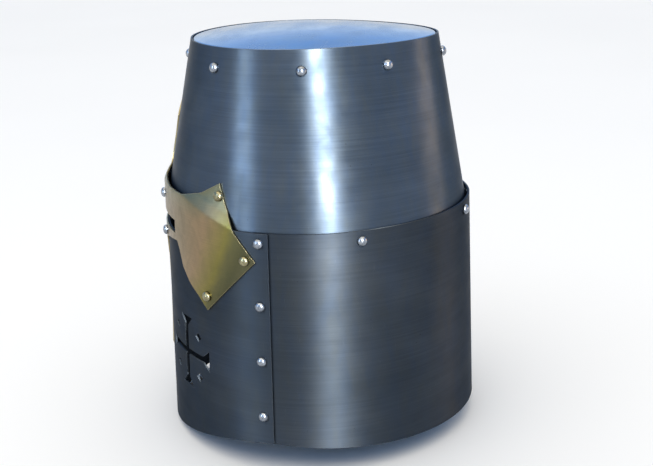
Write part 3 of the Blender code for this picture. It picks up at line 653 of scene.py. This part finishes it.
def cross_outline(arc):
    bar, reach, serif = CROSS_BAR / 2, CROSS_REACH, CROSS_SERIF / 2
    neck = reach - 0.0075
    arm = [(bar, bar), (bar, neck), (serif, reach), (-serif, reach), (-bar, neck)]
    points = []
    for quarter in range(4):
        turn = Matrix.Rotation(quarter * math.pi / 2, 2)
        points += [turn @ Vector(p) for p in arm]
    return [(arc + p.x, CROSS_Z + p.y) for p in points]


def dot_outlines(arc):
    half = DOT_SIZE / math.sqrt(2)
    return [[(arc + across + half * x, CROSS_Z + up + half * y)
             for x, y in ((1, 0), (0, 1), (-1, 0), (0, -1))]
            for across in (-DOT_OFFSET, DOT_OFFSET) for up in (-DOT_OFFSET, DOT_OFFSET)]


def brass_outline():
    half = [
        (0.0000, 0.0480), (0.0170, 0.0620), (0.0125, 0.0800), (0.0100, 0.1100), (0.0120, 0.1400),
        (0.0210, 0.1580), (0.0340, 0.1655), (0.0500, 0.1698), (0.0700, 0.1725), (0.0745, 0.1660),
        (0.0795, 0.1540), (0.0895, 0.1435), (0.1010, 0.1355), (0.1105, 0.1265), (0.1550, 0.1725),
        (0.1385, 0.1925), (0.1265, 0.2110), (0.1190, 0.2262), (0.1000, 0.2165), (0.0800, 0.2122),
        (0.0550, 0.2122), (0.0250, 0.2150), (0.0120, 0.2240), (0.0100, 0.2450), (0.0150, 0.2600),
        (0.0000, 0.2720),
    ]
    return half + [(-s, z) for s, z in reversed(half[1:-1])]


def between(low, high, shares):
    """Rows at shares of the way from one row to another."""
    def row(share):
        return lambda arc: (1 - share) * low(arc) + share * high(arc)
    return [row(share) for share in shares]


def level(z):
    return lambda arc: np.full_like(arc, z)


def lifted(row, by):
    return lambda arc: row(arc) + by


def make_face_plate():
    arcs = steps(-SIDE_EDGE, SIDE_EDGE, FINE_STEP)
    rows = between(rim, face_top, ROW_SHARES)
    sheet = flat_sheet("face_plate_fine", arcs, rows, SHEET)
    shapes = []
    for side in (1, -1):
        centre = side * CROSS_ARC
        shapes += [slit_outline(side), cross_outline(centre), *dot_outlines(centre)]
    holes = rivet_holes(lambda name, wall, z: wall in (face_wall, brass_wall))
    cut_out(sheet, shapes + holes, SHEET)
    join_piece(roll(sheet, face_wall, plate_steel_painted_shade), "shell", "blued_steel", "face_plate")


def make_rear_plate():
    start = SIDE_EDGE - SIDE_LAP
    arcs = steps(start, 2 * HALF_ROUND - start, FINE_STEP)
    rows = between(rim, level(BROW_Z), ROW_SHARES)
    sheet = flat_sheet("rear_plate_fine", arcs, rows, SHEET)
    holes = [[(s if s > 0 else s + 2 * HALF_ROUND, z) for s, z in hole]
             for hole in rivet_holes(lambda name, wall, z: wall in (face_wall, rear_wall))]
    cut_out(sheet, holes, SHEET)
    join_piece(roll(sheet, rear_wall, plate_steel_painted_shade), "shell", "blued_steel", "rear_plate")


def make_skull_plate():
    arcs = steps(-HALF_ROUND, HALF_ROUND, FINE_STEP)
    bend = 0.0015
    rows = [level(SKULL_FOOT), *(lifted(face_top, bend * share) for share in (-1, -1 / 3, 1 / 3, 1)),
            *between(lifted(face_top, bend), level(TOP_Z), ROW_SHARES[1:])]
    sheet = flat_sheet("skull_plate_fine", arcs, rows, SHEET)
    above = SLIT_Z + SLIT_HEIGHT / 2 + 0.002
    below = SKULL_FOOT - 0.001
    reach = SLIT_OUTER + 0.004
    notch = [(-reach, below), (reach, below), (reach, above), (-reach, above)]
    holes = rivet_holes(lambda name, wall, z: name != REAR_CROWN_RIVET and z > SKULL_FOOT + HOLE_MARGIN)
    cut_out(sheet, [notch] + holes, SHEET)
    join_piece(roll(sheet, skull_wall, skull_steel), "shell", "blued_steel", "skull_plate")


def make_crown_plate():
    """A shallow dome that turns down into the flange inside the skull's top."""
    arcs = steps(-HALF_ROUND, HALF_ROUND, FINE_STEP)[:-1]
    turn = 0.0026
    skins = []
    bm = bmesh.new()
    for depth in (0.0, SHEET):
        edge = CROWN_DEPTH + depth
        rings = [skull_wall(arcs, np.full_like(arcs, edge), np.full_like(arcs, z))
                 for z in (TOP_Z - CROWN_FLANGE, TOP_Z - CROWN_FLANGE / 2, TOP_Z - turn)]
        for a in range(15, 90, 15):
            sine, cosine = math.sin(math.radians(a)), math.cos(math.radians(a))
            ring = skull_wall(arcs, np.full_like(arcs, edge + turn * (1 - cosine)),
                              np.full_like(arcs, TOP_Z - turn))
            ring[:, 2] = TOP_Z - turn + turn * sine - depth * sine
            rings.append(ring)
        last = skull_wall(arcs, np.full_like(arcs, edge + turn), np.full_like(arcs, TOP_Z - turn))
        for tenth in range(10, 0, -1):
            share = tenth / 10
            ring = last * (share, share, 1)
            ring[:, 2] = TOP_Z - depth + CROWN_RISE * (1 - share ** 2)
            rings.append(ring)
        loops = [[bm.verts.new(p) for p in ring] for ring in rings]
        join_rings(bm, [*loops, [bm.verts.new((0, 0, TOP_Z - depth + CROWN_RISE))]])
        skins.append(loops[0])
    join_rings(bm, skins)
    bmesh.ops.recalc_face_normals(bm, faces=bm.faces)
    crown = add_object("crown_plate_fine", bm, crown_steel_painted_sky)
    crown.data.set_sharp_from_angle(angle=math.radians(40))
    join_piece(crown, "shell", "blued_steel", "crown_plate")


def make_brass_cross():
    arcs = steps(-SIDE_EDGE, SIDE_EDGE, FINE_STEP)
    rows = [level(0.04), level(0.09), level(0.14), lifted(face_top, -0.0002), lifted(face_top, 0.0025),
            lifted(face_top, 0.005), lifted(face_top, 0.0075), lifted(face_top, 0.010), level(0.28)]
    sheet = flat_sheet("brass_cross_fine", arcs, rows, BRASS_SHEET)
    cut_out(sheet, [brass_outline()], BRASS_SHEET, "INTERSECT")
    holes = rivet_holes(lambda name, wall, z: wall is brass_wall)
    cut_out(sheet, [slit_outline(1), slit_outline(-1)] + holes, BRASS_SHEET)
    join_piece(roll(sheet, brass_wall, brass, BRASS_EASED), "shell", "brass", "brass_cross")


make_face_plate()
make_rear_plate()
make_skull_plate()
make_crown_plate()
make_brass_cross()


# --- Leather -----------------------------------------------------------------------------------

def stitches(name, rows, body, length=0.0032, radius=0.00038):
    """Rows of thread stitches. A row is a list of (point, outward) pairs a stitch apart."""
    bm = bmesh.new()
    sides = 8
    for row in rows:
        for (start, out), (stop, _) in zip(row, row[1:]):
            run = stop - start
            if run.length < 1e-6:
                continue
            centre, along = start + run / 2, run.normalized()
            across = out.cross(along).normalized()
            half = min(length, run.length * 0.72) / 2
            rings = []
            for share in (-1, -0.75, -0.3, 0.3, 0.75, 1):
                bulge = radius * (1 - share ** 4) ** 0.5
                middle = centre + along * half * share + out * (radius * 0.55 * (1 - share ** 2))
                if bulge < 1e-9:
                    rings.append([bm.verts.new(middle)])
                    continue
                rings.append([bm.verts.new(middle + (across * math.cos(t) + out * math.sin(t)) * bulge)
                              for t in (2 * math.pi * i / sides for i in range(sides))])
            join_rings(bm, rings)
    bmesh.ops.recalc_face_normals(bm, faces=bm.faces)
    join_piece(add_object(name, bm, linen), body, "leather")


def band_low(arc):
    past = np.clip((folded(arc) - 0.185) / 0.030, 0, 1)
    return BAND_FRONT_LOW + past * (BAND_REAR_LOW - BAND_FRONT_LOW)


def make_liner_band():
    arcs = steps(-HALF_ROUND + 0.001, HALF_ROUND - 0.001, FINE_STEP)

    def bend(arc):
        return np.maximum(face_top(arc), band_low(arc) + 0.004)
    rows = [band_low, bend, lifted(bend, 0.003)] + between(lifted(bend, 0.003), level(BAND_TOP), (0.5, 1))
    sheet = flat_sheet("liner_band_fine", arcs, rows, LEATHER)
    cut_out(sheet, rivet_holes(lambda name, wall, z: "rear_rivet" in name or "rivet_top" in name), LEATHER)
    join_piece(roll(sheet, liner_wall, leather, BAND_EASED), "shell", "leather", "liner_band")
    rows = []
    for height in (lifted(band_low, BAND_STITCH_LOW), lambda arc: BAND_TOP - BAND_STITCH_HIGH):
        row = []
        for s in steps(-HALF_ROUND + BAND_STITCH_END, HALF_ROUND - BAND_STITCH_END, STITCH_PITCH):
            point, outward = stand(liner_wall, s, float(height(np.float64(s))), LEATHER)
            row.append((point, -outward))
        rows.append(row)
    stitches("liner_band_stitches", rows, "shell")


def cap_point(angle, rise, inwards=0.0):
    """A point of the cap: up the band's inside and over towards the crown."""
    arc, depth = arc_at(angle % (2 * math.pi)), LEATHER + CAP_GAP + inwards
    foot, _ = stand(liner_wall, arc, BAND_TOP - CAP_FOOT, depth)
    bend = math.pi / 2 * rise * CAP_ARCH
    return Vector((foot.x * math.cos(bend), foot.y * math.cos(bend),
                   foot.z + (CAP_RISE - inwards) * math.sin(bend)))


def tongue_angle(tongue, across, rise):
    narrow = 1 - TONGUE_TAPER * max(rise - TONGUE_ROOT, 0.0) / (1 - TONGUE_ROOT)
    return 2 * math.pi * (tongue + 0.5) / TONGUES + math.pi / TONGUES * TONGUE_FILL * narrow * across


def make_liner_cap():
    """Tapering tongues on a continuous hem, gathered at the top by a thong."""
    bm = bmesh.new()
    columns, rows = 12, 16
    grid = []
    for tongue in range(TONGUES):
        for i in range(columns + 1):
            across = 2 * i / columns - 1
            grid.append([bm.verts.new(cap_point(tongue_angle(tongue, across, j / rows), j / rows))
                         for j in range(rows + 1)])
    hem = 2
    for i, left in enumerate(grid):
        right = grid[(i + 1) % len(grid)]
        gap = i % (columns + 1) == columns
        for j in range(hem if gap else rows):
            bm.faces.new((left[j], right[j], right[j + 1], left[j + 1]))
    cap = add_object("liner_cap_fine", bm, cap_leather)
    skin = cap.modifiers.new("thickness", "SOLIDIFY")
    skin.thickness = CAP_LEATHER
    skin.offset = -1
    ease(cap, CAP_EASED)
    settle(cap)
    cap.data.shade_smooth()
    cap.data.set_sharp_from_angle(angle=math.radians(50))
    join_piece(cap, "shell", "leather", "liner_cap")
    rows_of_stitches = []
    for tongue in range(TONGUES):
        row = []
        path = [(-0.82, 0.22 + 0.70 * i / 15) for i in range(16)] + \
            [(-0.82 + 1.64 * i / 6, 0.92) for i in range(1, 6)] + \
            [(0.82, 0.92 - 0.70 * i / 15) for i in range(16)]
        for across, rise in path:
            angle = tongue_angle(tongue, across, rise)
            point = cap_point(angle, rise, CAP_LEATHER)
            inward = (Vector((0, 0, BAND_TOP - 0.03)) - point).normalized()
            row.append((point, inward))
        rows_of_stitches.append(row)
    stitches("liner_cap_stitches", rows_of_stitches, "shell")


def wire(name, points, radius, finish, closed=True):
    """A smooth round wire or cord through points."""
    curve = bpy.data.curves.new(name, "CURVE")
    curve.dimensions = "3D"
    curve.bevel_depth = radius
    curve.bevel_resolution = 6
    curve.use_fill_caps = True
    spline = curve.splines.new("POLY")
    spline.points.add(len(points) - 1)
    for point, corner in zip(spline.points, points):
        point.co = (*corner, 1)
    spline.use_cyclic_u = closed
    curve.materials.append(finish)
    made = bpy.data.objects.new(name, curve)
    bpy.context.scene.collection.objects.link(made)
    mesh = bpy.data.meshes.new_from_object(
        made.evaluated_get(bpy.context.evaluated_depsgraph_get()))
    bpy.data.objects.remove(made)
    solid = bpy.data.objects.new(name, mesh)
    bpy.context.scene.collection.objects.link(solid)
    solid.data.shade_smooth()
    solid.data.set_sharp_from_angle(angle=math.radians(60))
    return solid


def make_liner_thong():
    count = 96
    tip = cap_point(0, 1.0)
    radius = abs(tip.y) - THONG_INSET
    points = []
    for i in range(count):
        t = 2 * math.pi * i / count
        r = radius + THONG_RIPPLE * math.sin(TONGUES * 2 * t)
        points.append((r * math.sin(t), -r * math.cos(t),
                       tip.z - LEATHER - THONG_DROP + THONG_RIPPLE * math.sin(TONGUES * t)))
    thong = wire("liner_thong_cord", points, THONG_RADIUS, thong_leather)
    join_piece(thong, "shell", "leather", "liner_thong")


make_liner_band()
make_liner_cap()
make_liner_thong()


# --- Chin straps -------------------------------------------------------------------------------

def hanger_at(side):
    point, outward = stand(face_wall, side * SIDE_RIVET_ARC, BROW_RIVET_Z)
    inward = Vector((-outward.x, -outward.y, 0)).normalized()
    return point, inward, Vector((0, 0, 1)).cross(inward)


def spot(hanger, inward_by, along_by, z):
    point, inward, along = hanger
    at = point + inward * inward_by + along * along_by
    return Vector((at.x, at.y, z))


def strip(name, hanger, path, thickness, width, holes, tip=False):
    """A strap laid along a path of (inward, height). holes gives the outlines for its length."""
    path = np.array(path)
    lengths = np.concatenate([[0], np.cumsum(np.linalg.norm(np.diff(path, axis=0), axis=1))])
    runs = unit(np.gradient(path, axis=0))
    sideways = np.stack([-runs[:, 1], runs[:, 0]], axis=-1)
    point, inward, along = (np.array(v) for v in hanger)

    def wall(across, depth, far):
        inside = np.interp(far, lengths, path[:, 0])
        height = np.interp(far, lengths, path[:, 1])
        normal = np.stack([np.interp(far, lengths, sideways[:, i]) for i in (0, 1)], axis=-1)
        normal = unit(normal)
        shift = thickness / 2 - depth
        inside = inside + normal[..., 0] * shift
        height = height + normal[..., 1] * shift
        place = point + inside[..., None] * inward + across[..., None] * along
        return np.concatenate([place[..., :2], height[..., None]], axis=-1)

    end = float(lengths[-1])
    rows = [np.float64(v) for v in np.unique(np.concatenate([lengths, steps(0, end, 0.004)]))]
    keep = [rows[0]]
    for value in rows[1:]:
        if value - keep[-1] > 1e-4:
            keep.append(value)
    sheet = flat_sheet(name, steps(-width / 2, width / 2, 0.002), keep, thickness)
    if tip:
        past, start = 0.001, end - TIP_LENGTH
        waste = [(width / 2 + past, start), (width / 2 - 0.0002, start), (TIP_HALF, end - TIP_SHOULDER),
                 (TIP_POINT, end + past), (width / 2 + past, end + past)]
        cut_out(sheet, [[(side * across, far) for across, far in waste] for side in (1, -1)], thickness)
    cut_out(sheet, holes(end), thickness)
    return roll(sheet, wall, leather, STRAP_EASED), wall, end


def strap_stitches(name, wall, runs, body):
    """Two lines of stitches on a strap's inner side for each run of (start, stop) along it."""
    lines = []
    for start, stop in runs:
        for across in (-STITCH_INSET, STITCH_INSET):
            line = []
            for far in steps(start, stop, STRAP_STITCH_PITCH):
                point, outward = stand(wall, across, far, STRAP)
                line.append((point, -outward))
            lines.append(line)
    stitches(name, lines, body, length=0.0026, radius=0.00032)


def rounded_loop(hanger, inward_by, low, high):
    """Points of a wire loop with rounded corners in the plane of the strap."""
    points = []
    reach, high, low = RING_HALF - RING_NIP, high - RING_NIP, low + RING_NIP
    for across, z, start in ((reach, high, 0), (-reach, high, 90), (-reach, low, 180), (reach, low, 270)):
        corner = fold((across, z), RING_NIP, start, start + 90, 8)
        points += [spot(hanger, inward_by, *place) for place in corner]
    return points


def make_chin_strap(side):
    word = "left" if side > 0 else "right"
    body = f"{word}_strap"
    hanger = hanger_at(side)
    back = SKULL_DEPTH + SHEET + CHAPE_GAP + CHAPE / 2
    bar = back + CHAPE / 2 + BAR_ROOM
    loop = BAR_ROOM + CHAPE / 2

    chape = [(back, BROW_RIVET_Z + CHAPE_OVER_RIVET), (back, RING_TOP_Z + 0.004), (back, RING_TOP_Z)] + \
        fold((bar, RING_TOP_Z), loop, 180, 360)[1:] + [(bar + loop, RING_TOP_Z + CHAPE_TAIL)]
    strap, _, _ = strip(f"{word}_chape_fine", hanger, chape, CHAPE, CHAPE_WIDTH,
                        lambda _: [round_hole(0, CHAPE_OVER_RIVET, RIVET_SHANK + HOLE_ROOM)])
    join_piece(strap, "shell", "leather", f"{word}_chape")

    ring = wire(f"{word}_ring_wire", rounded_loop(hanger, bar, RING_LOW_Z, RING_TOP_Z),
                RING_WIRE, rivet_steel)
    join_piece(ring, body, "rivet_steel", f"{word}_ring")

    upper = [(bar + loop, RING_LOW_Z - STRAP_TAIL)] + fold((bar, RING_LOW_Z), loop, 0, 180)
    hang = bar - loop
    turned_over = STRAP_TAIL + math.pi * loop
    tail = (0.002, STRAP_TAIL - 0.001)
    if side < 0:
        path = upper + [(hang, z) for z in np.linspace(RING_LOW_Z, STRAP_TIP_Z, 12)[1:]]

        def buckle_holes(end):
            return [round_hole(0, end - STRAP_HOLE_START - STRAP_HOLE_PITCH * i, STRAP_HOLE)
                    for i in range(STRAP_HOLES)]
        strap, wall, end = strip("right_strap_fine", hanger, path, STRAP, STRAP_WIDTH, buckle_holes, tip=True)
        join_piece(strap, body, "leather", "right_strap")
        strap_stitches("right_strap_stitches", wall, [(turned_over + 0.018, end - 0.014), tail], body)
        return
    path = upper + [(hang, z) for z in np.linspace(RING_LOW_Z, BUCKLE_Z, 12)[1:]] + \
        fold((bar, BUCKLE_Z), loop, 180, 360)[1:] + [(bar + loop, BUCKLE_Z + STRAP_TAIL)]

    def prong_window(end):
        middle = end - STRAP_TAIL - math.pi * loop / 2
        high, low = middle + PRONG_SLOT_HIGH - PRONG_SLOT, middle - PRONG_SLOT_LOW + PRONG_SLOT
        return [fold((0, high), PRONG_SLOT, 0, 180, 8) + fold((0, low), PRONG_SLOT, 180, 360, 8)]
    strap, wall, end = strip("left_strap_fine", hanger, path, STRAP, STRAP_WIDTH, prong_window)
    join_piece(strap, body, "leather", "left_strap")
    runs = [(turned_over + 0.003, end - turned_over - 0.003), tail, (end - STRAP_TAIL + 0.001, end - 0.002)]
    strap_stitches("left_strap_stitches", wall, runs, body)

    buckle = wire("buckle_frame_wire",
                  rounded_loop(hanger, bar, BUCKLE_Z - BUCKLE_DROP, BUCKLE_Z), RING_WIRE, rivet_steel)
    join_piece(buckle, "buckle", "rivet_steel", "buckle_frame")
    eye = fold((bar, BUCKLE_Z), RING_WIRE + PRONG_WIRE + GAP, 150, -18, 20)
    turns = [spot(hanger, inward, 0, z) for inward, z in eye]
    tip = spot(hanger, bar + 2 * RING_WIRE + PRONG_WIRE, 0, BUCKLE_Z - BUCKLE_DROP - PRONG_OVERHANG)
    prong = wire("buckle_prong_wire", turns + [tip], PRONG_WIRE, rivet_steel, closed=False)
    join_piece(prong, "prong", "rivet_steel", "buckle_prong")


for side in (1, -1):
    make_chin_strap(side)


# --- Floor, light and camera -------------------------------------------------------------------

FLOOR_HALF, AIM_Z = 60.0, 0.18      # half of the floor's width, and the height the lights aim at


def make_floor():
    """A pale floor, and a collection that keeps it out of a light's reach."""
    bm = bmesh.new()
    bmesh.ops.create_grid(bm, x_segments=8, y_segments=8, size=FLOOR_HALF)
    s = Shader("pale_floor", 0.75, 0.0)
    mottle = s.noise(s.where(None), 1.2, 2.0)
    s.put("Base Color", s.ramp(mottle, (0.3, (0.88, 0.88, 0.88)), (0.7, (0.90, 0.90, 0.90))))
    floor = add_object("floor", bm, s.made)
    shaded = bpy.data.collections.new("kept_off_the_floor")
    shaded.objects.link(floor)
    shaded.collection_objects[0].light_linking.link_state = "EXCLUDE"
    return shaded


def make_felt():
    """A thin dark disc on the floor inside the rim: painted shade, so that the breaths look dark."""
    radius, thick, centre = 0.070, 0.001, (-0.020, -0.020, 0.0006)
    bm = bmesh.new()
    bmesh.ops.create_cone(bm, cap_ends=True, segments=64, radius1=radius, radius2=radius, depth=thick,
                          matrix=Matrix.Translation(centre))
    s = Shader("dark_felt", 0.95, 0.0)
    fuzz = s.noise(s.where(None), 700.0, 4.0)
    # Near-black painted shade with a faint fuzz.
    s.put("Base Color", s.ramp(fuzz, (0.3, (0.012, 0.012, 0.014)), (0.7, (0.030, 0.030, 0.034))))
    add_object("felt", bm, s.made)


def make_world():
    """A soft studio sky: pale at the horizon and bluer overhead."""
    world = bpy.data.worlds.new("studio")
    bpy.context.scene.world = world
    world.use_nodes = True
    tree = world.node_tree
    direction = tree.nodes.new("ShaderNodeTexCoord")
    split = tree.nodes.new("ShaderNodeSeparateXYZ")
    ramp = tree.nodes.new("ShaderNodeValToRGB")
    tree.links.new(direction.outputs["Generated"], split.inputs[0])
    tree.links.new(split.outputs[2], ramp.inputs[0])
    band = ramp.color_ramp
    stops = ((0.0, (1.0, 1.0, 1.0)), (0.20, (0.80, 0.92, 1.02)), (0.38, (0.22, 0.50, 1.02)),
             (0.55, (0.20, 0.48, 1.0)), (0.75, (1.50, 1.34, 1.05)))
    while len(band.elements) < len(stops):
        band.elements.new(0.5)
    for element, (position, colour) in zip(band.elements, stops):
        element.position = position
        element.color = (*colour, 1)
    tree.links.new(ramp.outputs[0], tree.nodes["Background"].inputs[0])
    tree.nodes["Background"].inputs[1].default_value = 1.0


def light(name, azimuth, distance, height, size, power, colour, shaded=None):
    """A soft box round the helm: azimuth 0 is in front of the face and 90 at the wearer's left."""
    data = bpy.data.lights.new(name, "AREA")
    data.shape = "RECTANGLE"
    data.size, data.size_y = size
    data.energy = power
    data.color = colour
    lamp = bpy.data.objects.new(name, data)
    bpy.context.scene.collection.objects.link(lamp)
    turn = math.radians(azimuth)
    lamp.location = (distance * math.sin(turn), -distance * math.cos(turn), height)
    aim = Vector((0, 0, AIM_Z)) - lamp.location
    lamp.rotation_mode = "QUATERNION"
    lamp.rotation_quaternion = aim.to_track_quat("-Z", "Y")
    if shaded:
        lamp.light_linking.receiver_collection = shaded


def make_camera():
    azimuth, turned, pitch, roll = 1.6893, -0.0048, 0.3872, -0.0289
    distance, height = 0.8046, 0.4347
    focal, shift = 1.5482, 0.0835        # both in frame widths
    data = bpy.data.cameras.new("camera")
    data.sensor_width = 36.0
    data.lens = focal * data.sensor_width
    data.shift_y = shift
    camera = bpy.data.objects.new("camera", data)
    bpy.context.scene.collection.objects.link(camera)
    heading = azimuth + turned
    forward = Vector((-math.sin(heading) * math.cos(pitch), math.cos(heading) * math.cos(pitch),
                      -math.sin(pitch)))
    right = forward.cross(Vector((0, 0, 1))).normalized()
    up = right.cross(forward)
    across = right * math.cos(roll) + up * math.sin(roll)
    top = up * math.cos(roll) - right * math.sin(roll)
    place = Matrix((across, top, -forward)).transposed().to_4x4()
    place.translation = (distance * math.sin(azimuth), -distance * math.cos(azimuth), height)
    camera.matrix_world = place
    bpy.context.scene.camera = camera


shaded_floor = make_floor()
make_felt()
make_world()
light("key_strip", 109, 1.7, 0.90, (0.14, 1.2), 62, (1.0, 1.0, 0.98), shaded_floor)
light("front_strip", 42, 1.8, 0.80, (0.34, 1.2), 12, (0.72, 0.86, 1.0), shaded_floor)
light("warm_card", 192, 1.6, 0.45, (0.5, 0.7), 3.5, (1.0, 0.62, 0.36), shaded_floor)
light("sky_panel", 278, 2.2, 1.7, (3.5, 2.3), 13, (0.27, 0.50, 1.0), shaded_floor)
light("overhead", 60, 0.9, 2.2, (2.2, 2.2), 12, (1.0, 1.0, 1.0))
make_camera()
bpy.context.scene.view_settings.view_transform = "Standard"
